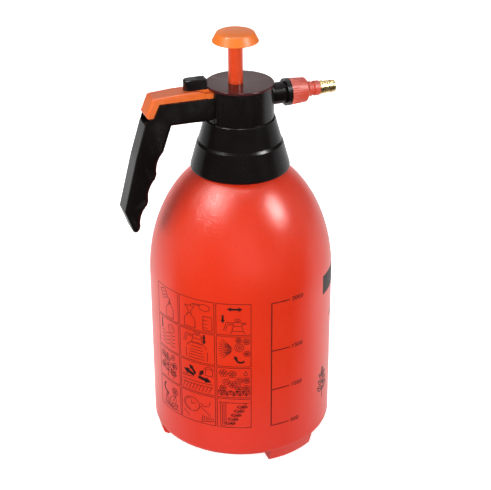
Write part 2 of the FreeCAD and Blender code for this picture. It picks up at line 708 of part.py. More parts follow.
def check_valve():
    """Rubber leaf under the cylinder's floor: air passes down into the tank, not back."""
    under = "pump_low"
    return pump_piece("CheckValve", "check_valve_leaf", [
        ("0", under + " - 1.8"), ("leaf_rad", under + " - 1.2"), ("leaf_rad", under + " - 0.05"),
        ("1.2", under + " - 0.05"), ("1.2", under + " + pump_floor + 1.7"),
        ("1.9", under + " + pump_floor + 1.8"), ("0.7", under + " + pump_floor + 3.2"),
        ("0", under + " + pump_floor + 3.2")])


def valve_cage():
    body = pump_piece("ValveCage", "check_valve_cage", [
        ("0", "cage_low"), ("cage_out", "cage_low"), ("cage_out", "cage_top"),
        ("pump_out", "cage_top"), ("pump_out", "cage_low + 2"), ("0", "cage_low + 2")])

    def outlets(sketch):
        for step in range(6):
            angle = "%d" % (60 * step)
            circle(sketch, "outlet_circle * cos(%s)" % angle, "outlet_circle * sin(%s)" % angle,
                   "outlet_rad")
    cut_down(body, "Outlets", outlets, depth="6", level="cage_low + 4")
    return body


# --------------------------------------------------------------------------- lift valve

def valve_piece(name, label, corners):
    body = body_of(name)
    revolve(body, name + "Turned", corners)
    place(body, "valve_place")
    return keep(body, label)


def valve_stem():
    seat = "seat_level"
    head = "stem_head_low"
    return valve_piece("ValveStem", "valve_stem", [
        ("0", seat + " + 1.3"), ("stem_rad", seat + " + 1.3"), ("stem_rad", seat + " + 1.9"),
        ("chamber_rad - 0.2", seat + " + 1.9"), ("chamber_rad - 0.2", seat + " + 2.7"),
        ("stem_rad", seat + " + 2.7"), ("stem_rad", head), ("stem_head", head),
        ("stem_head", head + " + stem_head_thick"), ("0", head + " + stem_head_thick")])


def valve_seal():
    seat = "seat_level"
    return valve_piece("ValveSeal", "valve_seal", [
        ("0", seat + " + 0.02"), ("chamber_rad - 0.3", seat + " + 0.02"),
        ("chamber_rad - 0.3", seat + " + 1.9"), ("stem_rad", seat + " + 1.9"),
        ("stem_rad", seat + " + 1.3"), ("0", seat + " + 1.3")])


def valve_spring():
    """Round-wire coil between the valve's collar and the washer under the stem seal."""
    body = body_of("ValveSpring")
    wire = "valve_spring_wire"
    sketch = new_sketch(body, "WireSketch")
    circle(sketch, "chamber_rad - %s - 0.35" % wire, "seat_level + 2.7 + 1.1 * " + wire, wire)
    coil = body.newObject("PartDesign::AdditiveHelix", "Coil")
    coil.Profile = sketch
    coil.ReferenceAxis = (sketch, ["V_Axis"])
    coil.Mode = 2
    coil.setExpression("Height", scoped("chamber_top - 0.8 - seat_level - 2.7 - 2.2 * " + wire))
    coil.setExpression("Turns", scoped("valve_spring_turns"))
    doc.recompute()
    place(body, "valve_place")
    return keep(body, "valve_spring")


def stem_seal():
    return valve_piece("StemSeal", "stem_seal", [
        ("stem_rad + 0.05", "chamber_top + 0.05"), ("chamber_rad", "chamber_top + 0.05"),
        ("chamber_rad", "gland_low"), ("stem_rad + 0.05", "gland_low")])


def stem_gland():
    return valve_piece("StemGland", "stem_gland", [
        ("stem_rad + 0.1", "gland_low"), ("chamber_rad", "gland_low"),
        ("chamber_rad", "boss_top"), ("boss_rad - 0.5", "boss_top"),
        ("boss_rad - 0.5", "boss_top + 0.5"), ("stem_rad + 0.1", "boss_top + 0.5")])


def spring_stop():
    """Washer under the stem seal that the spring pushes against."""
    return valve_piece("SpringStop", "spring_washer", [
        ("stem_rad + 0.3", "chamber_top - 0.8"), ("chamber_rad", "chamber_top - 0.8"),
        ("chamber_rad", "chamber_top"), ("stem_rad + 0.3", "chamber_top")])


def dip_tube():
    return valve_piece("DipTube", "dip_tube", [
        ("tube_bore", "tube_low"), ("tube_rad", "tube_low"), ("tube_rad", "deck_top"),
        ("tube_bore", "deck_top")])


def intake_filter():
    body = valve_piece("IntakeFilter", "intake_filter", [
        ("0", "tube_low - 2"), ("filter_rad", "tube_low - 2"), ("filter_rad", "tube_low + 9"),
        ("tube_rad + 0.02", "tube_low + 9"), ("tube_rad + 0.02", "tube_low"), ("0", "tube_low")])

    def slots(sketch):
        for step in range(5):
            angle = "%d" % (72 * step)
            circle(sketch, "1.9 * cos(%s)" % angle, "1.9 * sin(%s)" % angle, "0.5")
    cut_down(body, "IntakeHoles", slots, depth="4", level="tube_low + 1")
    return body


# --------------------------------------------------------------------------- trigger and lock

def trigger():
    """Lever: a thumb plate outside, a hub on the pin, and a ring that passes round the rod."""
    body = body_of("Trigger")
    pad_across(body, "ThumbPlate", [
        ("-plate_inner", "plate_low"), ("-plate_bend", "plate_low"), ("-lip_inner", "lip_low"),
        ("-lip_outer", "lip_low - 0.2"), ("-plate_back", "plate_back_level"),
        ("-plate_crown", "plate_top"), ("-plate_inner", "plate_top")], "trigger_half")
    rounded = chosen_edges(body.Tip.Shape, outer_plate_edge)
    fillet(body, "PlateRound", rounded, "2")
    for side in (1, -1):
        cut_beyond(body, "RearSlope", [
            ("-slope_start", "plate_top + 0.1"), ("-slope_end", "plate_top - slope_drop"),
            ("-slope_end", "plate_top + 0.1")], "lock_half + 0.2", side)
    groove(body, "LidRebate", [
        ("0", "barrel_top - 0.5"), ("barrel_rad + 0.4", "barrel_top - 0.5"),
        ("barrel_rad + 0.4", "plate_top + 5"), ("0", "plate_top + 5")])
    pad_across(body, "Neck", [
        ("-27", "plate_low + 0.3"), ("-27", "282.8"), ("-20.8", "282.8"), ("-16", "277.5"),
        ("-15.6", "272.9"), ("-22", "272.9"), ("-23", "276")], "trigger_half")
    ring = new_sketch(body, "RingSketch", "XY_Plane", "pivot_level - lever_thick / 2")
    outline(ring, [
        ("-16", "-8"), ("-15.4", "-11"), ("12", "-11"), ("14", "-4.2"), ("20.6", "-4.2"),
        ("20.6", "-1.8"), ("15.4", "-1.8"), ("15.4", "1.8"), ("20.6", "1.8"), ("20.6", "4.2"),
        ("14", "4.2"), ("12", "11"), ("-15.4", "11"), ("-16", "8")])
    outline(ring, [("-12.5", "-7.6"), ("8.2", "-7.6"), ("8.2", "7.6"), ("-12.5", "7.6")])
    lever = body.newObject("PartDesign::Pad", "Ring")
    lever.Profile = ring
    lever.setExpression("Length", scoped("lever_thick"))
    doc.recompute()
    pivot = new_sketch(body, "PivotSketch")
    circle(pivot, "-pivot_back", "pivot_level", "pin_rad + slip")
    before = body.Shape.Volume
    hole = body.newObject("PartDesign::Pocket", "PivotHole")
    hole.Profile = pivot
    hole.Midplane = True
    hole.setExpression("Length", scoped("3 * pin_half"))
    doc.recompute()
    check_cut("PivotHole", before, body)
    inner = "-(lock_inner + keel_start - 0.2)"
    outer = "-(lock_inner + keel_start + keel_length + lock_travel + 0.4)"
    cut_across(body, "LockSlot", [
        (inner, "plate_low - 1"), (outer, "plate_low - 1"), (outer, "plate_top + 1"),
        (inner, "plate_top + 1")], "1.6")
    cut_across(body, "LockRecess", [
        (inner, "plate_low - 1"), (outer, "plate_low - 1"), (outer, "plate_low + 2.4"),
        (inner, "plate_low + 2.4")], "3.2")
    return keep(body, "trigger")


def outer_plate_edge(edge):
    """Upper and outer edges of the thumb plate."""
    box = edge.BoundBox
    middle = 0.5 * (box.XMin + box.XMax)
    upper = box.ZMin > size("plate_low + 2") and box.XLength > 1
    lip = middle < -69 and box.ZLength > 1
    across = box.YLength > 5 and box.XMin < -60 and middle < -64 and box.ZMin > 280
    corner = box.YLength > 5 and middle < -72
    return upper or lip or across or corner


def trigger_pin():
    body = body_of("TriggerPin")
    revolve(body, "PinTurned", [
        ("0", "-pin_half"), ("pin_rad - 0.3", "-pin_half"), ("pin_rad", "-pin_half + 0.3"),
        ("pin_rad", "pin_half - 0.3"), ("pin_rad - 0.3", "pin_half"), ("0", "pin_half")])
    place(body, "-pivot_back", "0", "pivot_level", SIDEWAYS)
    return keep(body, "trigger_pin")


def lock_button():
    """Sliding lock on the thumb plate, with a keel that runs in the plate's slot."""
    body = body_of("LockButton")
    low = "plate_top + 0.08"
    top = "plate_top + lock_tall"
    inner = "-lock_inner"
    outer = "-(lock_inner + lock_length)"
    pad_across(body, "LockBlock", [
        (inner, low), (outer, low), (outer, top), (inner, top)], "lock_half")
    ends = chosen_edges(body.Tip.Shape,
                        lambda e: e.BoundBox.ZLength > 3 and e.BoundBox.XMin < -40)
    fillet(body, "LockEnd", ends, "lock_half - 0.3")
    ends = chosen_edges(body.Tip.Shape,
                        lambda e: e.BoundBox.ZLength > 3 and e.BoundBox.XMin > -26)
    fillet(body, "LockInnerEnd", ends, "1.2")
    rim = chosen_edges(body.Tip.Shape, lambda e: e.BoundBox.ZMin > size(top) - 0.01)
    fillet(body, "LockRim", rim, "1.2")
    for step in range(3):
        near = "%s - 2.2 - thumb_pitch * %d" % (inner, step)
        far = near + " - thumb_groove"
        cut_across(body, "ThumbGroove%d" % (step + 1), [
            (near, top + " + 1"), (near, top + " - 0.6"), (far, top + " - 0.6"),
            (far, top + " + 1")], "lock_half - 1.2")
    keel_inner = "-(lock_inner + keel_start)"
    keel_outer = "-(lock_inner + keel_start + keel_length)"
    pad_across(body, "Keel", [
        (keel_inner, low + " + 0.5"), (keel_outer, low + " + 0.5"),
        (keel_outer, "plate_low + 0.1"), (keel_inner, "plate_low + 0.1")], "1.5")
    pad_across(body, "KeelFoot", [
        (keel_inner, "plate_low + 0.1"), (keel_inner, "plate_low + 2.3"),
        (keel_outer, "plate_low + 2.3"), (keel_outer, "plate_low + 0.1")], "3")
    return keep(body, "lock_button")


# --------------------------------------------------------------------------- nozzle

def nozzle_piece(name, label, corners):
    """A turned piece on the spout's axis: outline as (radius, distance along +X)."""
    body = body_of(name)
    revolve(body, name + "Turned", corners)
    place(body, "0", "0", "spout_level", FORWARD)
    return keep(body, label)


def nozzle_nut():
    body = nozzle_piece("NozzleNut", "nozzle_nut", [
        ("nut_bore", "spout_face + slip"), ("nut_back_rad", "spout_face + slip"),
        ("nut_front_rad", "nut_front"), ("6.2", "nut_nose"), ("lance_rad + slip", "nut_nose"),
        ("lance_rad + slip", "nut_front"), ("nut_bore", "nut_front")])
    fillet_rings(body, "NutShoulder", [("nut_front_rad", "nut_front")], "1")
    sketch = new_sketch(body, "RibSketch", "XY_Plane", "spout_face - 1")
    circle(sketch, "nut_back_rad + 0.25", "0", "flute_rad")
    before = body.Shape.Volume
    flute = body.newObject("PartDesign::Pocket", "Flute")
    flute.Profile = sketch
    flute.Reversed = True
    flute.setExpression("Length", scoped("nut_front - spout_face - 0.5"))
    doc.recompute()
    check_cut("Flute", before, body)
    repeat(body, "Flutes", [flute], "nut_ribs")
    return body


def nozzle_lance():
    """Short tube that the nut clamps to the spout and the brass tip screws on to."""
    start = "spigot_end + 1.5"
    return nozzle_piece("NozzleLance", "nozzle_lance", [
        ("lance_bore", start), ("nut_bore - 0.1", start), ("nut_bore - 0.1", "nut_front - slip"),
        ("lance_rad", "nut_front - slip"), ("lance_rad", "lance_groove"),
        ("lance_rad - 0.9", "lance_groove + 0.5"), ("lance_rad - 0.9", "lance_groove + 1.7"),
        ("lance_rad", "lance_groove + 2.2"), ("lance_rad", "lance_shoulder - 0.6"),
        ("lance_rad - 0.6", "lance_shoulder"), ("lance_spigot", "lance_shoulder"),
        ("lance_spigot", "lance_shoulder + lance_tail"),
        ("lance_bore", "lance_shoulder + lance_tail")])


def nozzle_washer():
    return nozzle_piece("NozzleWasher", "nozzle_washer", [
        ("3", "spigot_end"), ("spigot_rad", "spigot_end"), ("spigot_rad", "spigot_end + 1.5"),
        ("3", "spigot_end + 1.5")])


def swirl_core():
    """Insert that spins the liquid before it leaves the tip."""
    end = "lance_shoulder + lance_tail"
    radius = "lance_bore - 0.02"
    body = nozzle_piece("SwirlCore", "swirl_core", [
        ("0", end + " - 5"), (radius, end + " - 5"), (radius, end + " + 0.4"),
        ("1.3", end + " + 1.4"), ("0", end + " + 1.4")])

    def channels(sketch):
        for across in (radius, "-(%s)" % radius):
            circle(sketch, across, "0", "0.6")
    cut_down(body, "SwirlChannels", channels)
    return body


def tip_seal():
    start = "lance_shoulder + lance_tail + 1"
    return nozzle_piece("TipSeal", "tip_seal", [
        ("2.3", start), ("lance_spigot + 0.03", start), ("lance_spigot + 0.03", start + " + 1"),
        ("2.3", start + " + 1")])


def brass_tip():
    """Turned brass nozzle with a collar ring, a waist and a recessed orifice."""
    bore = "lance_spigot + slip"
    start = "lance_shoulder + slip"
    body = nozzle_piece("BrassTip", "brass_tip", [
        (bore, start), ("tip_rad", start), ("tip_rad", "tip_step"),
        ("tip_rad - 0.9", "tip_step + 0.3"), ("tip_rad - 0.9", "tip_step + 1.2"),
        ("tip_rad - 0.4", "tip_step + 1.5"), ("tip_rad - 0.4", "tip_step + 4.2"),
        ("tip_rad - 0.9", "tip_step + 4.6"), ("tip_rad - 0.9", "tip_step + 5.2"),
        ("tip_rad - 0.4", "tip_step + 5.6"), ("tip_rad - 0.5", "tip_end"), ("2.3", "tip_end"),
        ("1.9", "tip_end - 1.8"), ("orifice_rad", "tip_end - 2"),
        ("orifice_rad", "tip_end - 3.2"), ("chamber_mouth", "tip_end - 3.9"),
        ("chamber_mouth", "tip_chamber"), (bore, "tip_chamber")])
    fillet_rings(body, "TipRim", [("tip_rad - 0.5", "tip_end")], "0.6")
    return body


# --------------------------------------------------------------------------- all together

def check_document():
    """Stop if any feature failed or any piece is missing, empty or invalid."""
    doc.recompute()
    for obj in doc.Objects:
        if "Invalid" in obj.State or "Error" in obj.State:
            raise RuntimeError("failed feature " + obj.Name)
    for obj in nodes:
        shape = obj.Shape
        if shape.isNull() or not shape.isValid():
            raise RuntimeError("bad shape " + obj.Label)
        if len(shape.Solids) != 1:
            raise RuntimeError("%s has %d solids" % (obj.Label, len(shape.Solids)))


def write_parts():
    os.makedirs("parts", exist_ok=True)
    for obj in nodes:
        obj.Shape.exportStep(os.path.join("parts", obj.Label + ".step"))
        print("%-18s %9.1f mm3" % (obj.Label, obj.Shape.Volume))


fill_sheet()
for make in (tank, screw_collar, tank_gasket, head_casing, top_cover, pump_cylinder,
             cylinder_seal, cylinder_cap, pump_rod, piston, piston_seal, pump_knob, check_valve,
             valve_cage, valve_stem, valve_seal, valve_spring, spring_stop, stem_seal, stem_gland,
             dip_tube, intake_filter, trigger, trigger_pin, lock_button, nozzle_nut, nozzle_lance,
             nozzle_washer, swirl_core, tip_seal, brass_tip):
    make()
check_document()
write_parts()
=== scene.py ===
"""Looks for the hand pump sprayer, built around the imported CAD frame. Metres, +Z up."""

import json
import math

import bmesh
import bpy
from mathutils import Matrix, Vector
from mathutils.bvhtree import BVHTree


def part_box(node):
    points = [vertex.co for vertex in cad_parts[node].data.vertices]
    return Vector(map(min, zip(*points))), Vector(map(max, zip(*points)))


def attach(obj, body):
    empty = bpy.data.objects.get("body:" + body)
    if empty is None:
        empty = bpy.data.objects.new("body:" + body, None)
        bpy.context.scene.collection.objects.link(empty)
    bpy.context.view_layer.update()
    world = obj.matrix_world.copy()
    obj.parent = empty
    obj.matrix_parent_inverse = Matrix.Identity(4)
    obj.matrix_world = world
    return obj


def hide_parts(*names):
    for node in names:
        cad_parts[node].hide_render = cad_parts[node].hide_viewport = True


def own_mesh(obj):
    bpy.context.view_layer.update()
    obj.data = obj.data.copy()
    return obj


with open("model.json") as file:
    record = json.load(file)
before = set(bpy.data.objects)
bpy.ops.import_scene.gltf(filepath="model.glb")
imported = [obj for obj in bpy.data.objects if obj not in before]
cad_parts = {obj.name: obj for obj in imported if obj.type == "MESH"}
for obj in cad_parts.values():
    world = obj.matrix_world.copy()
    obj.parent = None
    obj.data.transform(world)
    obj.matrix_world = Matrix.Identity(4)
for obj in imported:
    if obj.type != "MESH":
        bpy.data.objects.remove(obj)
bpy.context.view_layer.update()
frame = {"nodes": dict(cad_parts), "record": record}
NODES = frame["nodes"]
MM = 0.001

# --------------------------------------------------------------------------- places from the frame

TANK_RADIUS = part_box("tank")[1].y
TANK_TREE = BVHTree.FromPolygons([v.co for v in NODES["tank"].data.vertices],
                                 [p.vertices for p in NODES["tank"].data.polygons])

# Directions round the tank are turns in degrees from the middle of its printed side. The printed
# side faces between -Y and the grip.
PRINT_FACES = -109.5

# --------------------------------------------------------------------------- camera and studio

CAMERA_PLACE = Vector((-0.29458, -0.83186, 0.60968))
CAMERA_PITCH = 0.47582
CAMERA_YAW = math.radians(19.5) + 0.00423
CAMERA_ROLL = -0.00391
CAMERA_LENS = 96.23
SENSOR = 36.0

# Level directions: straight away from the camera, and across its view towards the grip.
AHEAD = (math.sin(CAMERA_YAW), math.cos(CAMERA_YAW), 0.0)
TO_GRIP = (-math.cos(CAMERA_YAW), math.sin(CAMERA_YAW), 0.0)

# The backdrop is bright only behind the object. BACKDROP_EDGE holds the two cosines, measured from
# straight behind, between which it goes from dark to bright.
BACKDROP_LIGHT = 0.65
DARK_STUDIO = 0.05
BACKDROP_EDGE = (0.74, 0.93)

# The floor glows a little so that it reads as white. FLOOR_BOUNCE is how bright it is in reflections,
# which it grows to between the two distances in FLOOR_LIT_FROM, measured from the tank to the back.
FLOOR_HALF = 12.0
FLOOR_GLOW = 0.72
FLOOR_BOUNCE = 0.50
FLOOR_LIT_FROM = (-0.08, 0.05)

# The boxes that make the two glints on the shoulder stand LIGHT_RANGE away from it.
LIGHT_RANGE = 1.2
SHOULDER = Vector((0.0, -0.035, 0.21))
LEFT_GLINT = Vector((-0.633, -0.086, 0.769))
RIGHT_GLINT = Vector((0.610, -0.531, 0.588))


# --------------------------------------------------------------------------- node helpers

def new_material(name):
    """A material with its node tree and its shader node."""
    material = bpy.data.materials.new(name)
    material.use_nodes = True
    tree = material.node_tree
    return material, tree, tree.nodes["Principled BSDF"]


def feed(tree, value, socket):
    """Put a number, a colour or another node's output into a socket."""
    if isinstance(value, bpy.types.NodeSocket):
        tree.links.new(value, socket)
    elif isinstance(value, tuple):
        socket.default_value = (*value, 1.0) if len(socket.default_value) == 4 else value
    else:
        socket.default_value = value


def object_coords(tree):
    """Position in the row frame, in metres."""
    return tree.nodes.new("ShaderNodeTexCoord").outputs["Object"]


def stretched(tree, x, y, z):
    """The row frame position with each axis scaled."""
    node = tree.nodes.new("ShaderNodeMapping")
    feed(tree, object_coords(tree), node.inputs["Vector"])
    feed(tree, (x, y, z), node.inputs["Scale"])
    return node.outputs["Vector"]


def noise(tree, scale, detail=2.0, roughness=0.5, coords=None):
    """Soft random variation between 0 and 1."""
    node = tree.nodes.new("ShaderNodeTexNoise")
    feed(tree, float(scale), node.inputs["Scale"])
    feed(tree, detail, node.inputs["Detail"])
    feed(tree, roughness, node.inputs["Roughness"])
    feed(tree, coords or object_coords(tree), node.inputs["Vector"])
    return node.outputs["Fac"]


def mapped(tree, value, low, high, from_low=0.0, from_high=1.0, smooth=False):
    """A value carried from one range to another and held at the ends."""
    node = tree.nodes.new("ShaderNodeMapRange")
    if smooth:
        node.interpolation_type = "SMOOTHSTEP"
    feed(tree, value, node.inputs["Value"])
    for name, number in (("From Min", from_low), ("From Max", from_high),
                         ("To Min", low), ("To Max", high)):
        feed(tree, number, node.inputs[name])
    return node.outputs["Result"]


def mixed(tree, factor, first, second):
    """A colour between two colours or colour outputs."""
    node = tree.nodes.new("ShaderNodeMix")
    node.data_type = "RGBA"
    feed(tree, factor, node.inputs["Factor"])
    for value, slot in ((first, "A"), (second, "B")):
        feed(tree, value, [s for s in node.inputs if s.name == slot and s.type == "RGBA"][0])
    return [s for s in node.outputs if s.type == "RGBA"][0]


def maths(tree, operation, first, second=0.0):
    """One sum of two numbers or outputs."""
    node = tree.nodes.new("ShaderNodeMath")
    node.operation = operation
    feed(tree, first, node.inputs[0])
    feed(tree, second, node.inputs[1])
    return node.outputs[0]


def vector_maths(tree, operation, first, second=(0.0, 0.0, 0.0)):
    """One sum of two vectors or outputs. A dot product is a number, and the rest are vectors."""
    node = tree.nodes.new("ShaderNodeVectorMath")
    node.operation = operation
    feed(tree, first, node.inputs[0])
    feed(tree, second, node.inputs[1])
    return node.outputs["Value" if operation == "DOT_PRODUCT" else "Vector"]


def bump(tree, height, distance, previous=None):
    """A normal bent by a height, on top of another bump if one is given."""
    node = tree.nodes.new("ShaderNodeBump")
    feed(tree, distance, node.inputs["Distance"])
    feed(tree, height, node.inputs["Height"])
    if previous is not None:
        feed(tree, previous, node.inputs["Normal"])
    return node.outputs["Normal"]


def height_above_floor(tree):
    """The height of a point in metres."""
    node = tree.nodes.new("ShaderNodeSeparateXYZ")
    feed(tree, object_coords(tree), node.inputs["Vector"])
    return node.outputs["Z"]


def edge_share(tree):
    """How far a point lies on a convex edge, from the mesh's pointiness."""
    geometry = tree.nodes.new("ShaderNodeNewGeometry")
    return mapped(tree, geometry.outputs["Pointiness"], 0.0, 1.0, 0.53, 0.62)


def worn_edges(tree, amount):
    """The convex edges, broken up by noise."""
    patchy = mapped(tree, noise(tree, 160.0, 3.0), 0.0, 1.0, 0.45, 0.65)
    return maths(tree, "MULTIPLY", maths(tree, "MULTIPLY", edge_share(tree), patchy), amount)


# --------------------------------------------------------------------------- materials

# How many times shinier a convex edge is than the flat plastic beside it.
EDGE_POLISH = 4.0

# How far red, green and blue light soak into a plastic that glows, in metres, and their share.
SOAK = (0.006, 0.0015, 0.0008)
SOAK_SHARE = 0.5

# The crackle in the tank's skin: its cells, its depth in metres, and the two distances towards the
# grip side between which it grows to full strength.
CRACKLE_CELLS = 620.0
CRACKLE_DEPTH = 0.00006
CRACKLE_ENDS = (-0.012, 0.010)

# The heights between which the tank's wall turns into its shoulder.
SHOULDER_ENDS = (0.130, 0.175)


def plastic(name, colour, second, rough, grain, grain_size, wear=0.3, shine=0.5, glow=0.0,
            tint=(1.0, 1.0, 1.0)):
    """Moulded plastic: slow colour drift, fine grain, faint scuffs and worn edges."""
    material, tree, shader = new_material(name)
    drift = mapped(tree, noise(tree, 22.0, 3.0), 0.0, 1.0, 0.35, 0.65)
    base = mixed(tree, drift, colour, second)
    pale = tuple(min(1.0, channel * 1.6 + 0.03) for channel in second)
    worn = worn_edges(tree, wear)
    base = mixed(tree, worn, base, pale)
    feed(tree, base, shader.inputs["Base Color"])
    scuffs = noise(tree, 90.0, 6.0, 0.75, stretched(tree, 1.0, 1.0, 0.35))
    feed(tree, mapped(tree, scuffs, rough * 0.85, rough * 1.25, 0.3, 0.7), shader.inputs["Roughness"])
    feed(tree, bump(tree, noise(tree, grain_size, 2.0), grain), shader.inputs["Normal"])
    polished = mapped(tree, edge_share(tree), shine, min(1.0, shine * EDGE_POLISH))
    feed(tree, polished, shader.inputs["Specular IOR Level"])
    feed(tree, tint, shader.inputs["Specular Tint"])
    feed(tree, glow, shader.inputs["Subsurface Weight"])
    feed(tree, SOAK, shader.inputs["Subsurface Radius"])
    feed(tree, SOAK_SHARE, shader.inputs["Subsurface Scale"])
    return material


def tank_material():
    """Blown polyethylene: deep orange-red, with a crackled skin over the shoulder."""
    material, tree, shader = new_material("tank_plastic")
    drift = mapped(tree, noise(tree, 9.0, 3.0), 0.0, 1.0, 0.35, 0.65)
    base = mixed(tree, drift, (0.720, 0.034, 0.010), (0.750, 0.044, 0.015))
    flecks = mapped(tree, noise(tree, 320.0, 2.0), 0.0, 0.35, 0.62, 0.72)
    base = mixed(tree, flecks, base, (0.60, 0.024, 0.006))
    height = height_above_floor(tree)
    # Painted reflection: the bottom of the wall is painted pinker, standing in for the floor's light
    # reflected there.
    low = mapped(tree, height, 1.0, 0.0, 0.010, 0.090)
    base = mixed(tree, low, base, (0.74, 0.052, 0.036))
    shoulder = mapped(tree, height, 0.15, 1.0, *SHOULDER_ENDS)
    # Painted sheen: the wall is painted pale pink where it turns away from the camera. This stands in for
    # the studio light reflected at grazing angles, and there is less of it over the shoulder.
    rim = tree.nodes.new("ShaderNodeLayerWeight").outputs["Facing"]
    painted_rim_sheen = maths(tree, "MULTIPLY", mapped(tree, rim, 0.0, 1.0, 0.30, 0.85),
                  mapped(tree, shoulder, 1.0, 0.35, 0.15, 1.0))
    base = mixed(tree, painted_rim_sheen, base, (0.95, 0.15, 0.13))
    feed(tree, base, shader.inputs["Base Color"])
    cells = tree.nodes.new("ShaderNodeTexVoronoi")
    cells.feature = "DISTANCE_TO_EDGE"
    feed(tree, CRACKLE_CELLS, cells.inputs["Scale"])
    feed(tree, stretched(tree, 1.0, 1.0, 0.55), cells.inputs["Vector"])
    across = vector_maths(tree, "DOT_PRODUCT", object_coords(tree), TO_GRIP)
    patch = mapped(tree, across, 0.15, 1.0, *CRACKLE_ENDS)
    cracks = mapped(tree, cells.outputs["Distance"], 0.0, 1.0, 0.0, 0.16)
    cracks = maths(tree, "MULTIPLY", maths(tree, "MULTIPLY", cracks, patch), shoulder)
    skin = bump(tree, cracks, CRACKLE_DEPTH)
    waves = bump(tree, noise(tree, 45.0, 2.0), 0.00025, skin)
    grain = bump(tree, noise(tree, 1400.0, 2.0), 0.00003, waves)
    feed(tree, grain, shader.inputs["Normal"])
    smears = noise(tree, 60.0, 5.0, 0.7, stretched(tree, 1.0, 1.0, 0.3))
    feed(tree, mapped(tree, smears, 0.275, 0.305, 0.3, 0.7), shader.inputs["Roughness"])
    feed(tree, 0.42, shader.inputs["Specular IOR Level"])
    feed(tree, (1.0, 0.8, 0.78), shader.inputs["Specular Tint"])
    feed(tree, 0.25, shader.inputs["Subsurface Weight"])
    feed(tree, SOAK, shader.inputs["Subsurface Radius"])
    feed(tree, SOAK_SHARE, shader.inputs["Subsurface Scale"])
    return material


def metal(name, colour, dark, rough):
    """Turned metal with fine tool rings round the X axis."""
    material, tree, shader = new_material(name)
    rings = tree.nodes.new("ShaderNodeTexWave")
    rings.bands_direction = "X"
    feed(tree, 900.0, rings.inputs["Scale"])
    feed(tree, 0.6, rings.inputs["Distortion"])
    feed(tree, object_coords(tree), rings.inputs["Vector"])
    stain = mapped(tree, noise(tree, 260.0, 4.0), 0.0, 1.0, 0.4, 0.7)
    feed(tree, mixed(tree, stain, colour, dark), shader.inputs["Base Color"])
    feed(tree, 1.0, shader.inputs["Metallic"])
    feed(tree, mapped(tree, noise(tree, 700.0, 3.0), rough * 0.7, rough * 1.4), shader.inputs["Roughness"])
    feed(tree, bump(tree, rings.outputs["Fac"], 0.00002), shader.inputs["Normal"])
    return material


def ink(name, colour, faded):
    """Screen-printed ink, thin in places and a little rough."""
    material, tree, shader = new_material(name)
    thin = mapped(tree, noise(tree, 900.0, 3.0, 0.7), 0.0, 1.0, 0.52, 0.75)
    feed(tree, mixed(tree, thin, colour, faded), shader.inputs["Base Color"])
    feed(tree, mapped(tree, noise(tree, 1500.0), 0.4, 0.6), shader.inputs["Roughness"])
    feed(tree, bump(tree, noise(tree, 2500.0), 0.00001), shader.inputs["Normal"])
    return material


MATERIALS = {
    "tank_plastic": tank_material(),
    "black_plastic": plastic("black_plastic", (0.0036, 0.0024, 0.0022), (0.0056, 0.0040, 0.0037), 0.24,
                             0.00002, 1500.0, wear=0.25, shine=0.26),
    "lid_plastic": plastic("lid_plastic", (0.050, 0.009, 0.009), (0.060, 0.013, 0.013), 0.17,
                           0.00001, 700.0, wear=0.2, shine=0.26, tint=(1.0, 0.72, 0.73)),
    "orange_plastic": plastic("orange_plastic", (0.74, 0.118, 0.010), (0.78, 0.142, 0.018), 0.34,
                              0.00003, 1300.0, shine=0.32, glow=0.2),
    # The knob's orange is a paler copy painted lighter: a painted highlight for the light falling on the
    # knob's top.
    "knob_orange_painted_light": plastic("knob_orange_painted_light", (0.96, 0.20, 0.020), (1.0, 0.23, 0.030), 0.34,
                            0.00003, 1300.0, shine=0.25, glow=0.2),
    "rod_plastic": plastic("rod_plastic", (0.66, 0.050, 0.006), (0.70, 0.062, 0.010), 0.30,
                           0.00002, 1300.0, glow=0.15),
    "nozzle_plastic": plastic("nozzle_plastic", (0.62, 0.064, 0.032), (0.68, 0.082, 0.044), 0.40,
                              0.00003, 1500.0, glow=0.15),
    "clear_plastic": plastic("clear_plastic", (0.72, 0.72, 0.69), (0.80, 0.80, 0.78), 0.35,
                             0.00002, 1200.0, glow=0.3),
    "seal_rubber": plastic("seal_rubber", (0.012, 0.012, 0.012), (0.020, 0.020, 0.020), 0.62,
                           0.00004, 1800.0),
    "brass": metal("brass", (0.95, 0.74, 0.36), (0.68, 0.46, 0.18), 0.26),
    "steel": metal("steel", (0.62, 0.62, 0.62), (0.40, 0.40, 0.41), 0.28),
}
LINE_INK = ink("line_ink", (0.050, 0.003, 0.003), (0.16, 0.009, 0.007))
BOLD_INK = ink("bold_ink", (0.012, 0.004, 0.004), (0.05, 0.008, 0.007))


def dress_nodes():
    """Give every CAD node the finish of its material slot; the knob gets a paler copy of the orange,
    painted lighter to stand in for the light on its top.
    """
    for part in frame["record"]["subparts"]:
        finish = "knob_orange_painted_light" if part["node"] == "pump_knob" else part["material_slot"]
        node = NODES[part["node"]]
        node.data.materials.clear()
        node.data.materials.append(MATERIALS[finish])


# --------------------------------------------------------------------------- valve spring


def valve_coil():
    """The coil over the lift valve, copied from the spring node and carried with the head in its place."""
    source = NODES["valve_spring"]
    coil_piece = bpy.data.objects.new("valve_coil", source.data.copy())
    coil_piece.matrix_world = source.matrix_world.copy()
    bpy.context.scene.collection.objects.link(coil_piece)
    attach(coil_piece, "head")
    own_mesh(coil_piece)
    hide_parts("valve_spring")


# --------------------------------------------------------------------------- prints on the tank
#
# A print is a list of strokes. A stroke is a list of (across, up) points in millimetres and a width:
# across is measured round the tank's wall from the middle of the printed side, up is the height.

INK_PROUD = 0.05 * MM
INK_SUNK = 0.10 * MM
INK_STEP = 1.6
FINE = 0.40
BOLD = 1.5
WALL_MM = TANK_RADIUS / MM


def across_at(degrees):
    """Millimetres round the wall for a turn from the middle of the printed side."""
    return math.radians(degrees) * WALL_MM


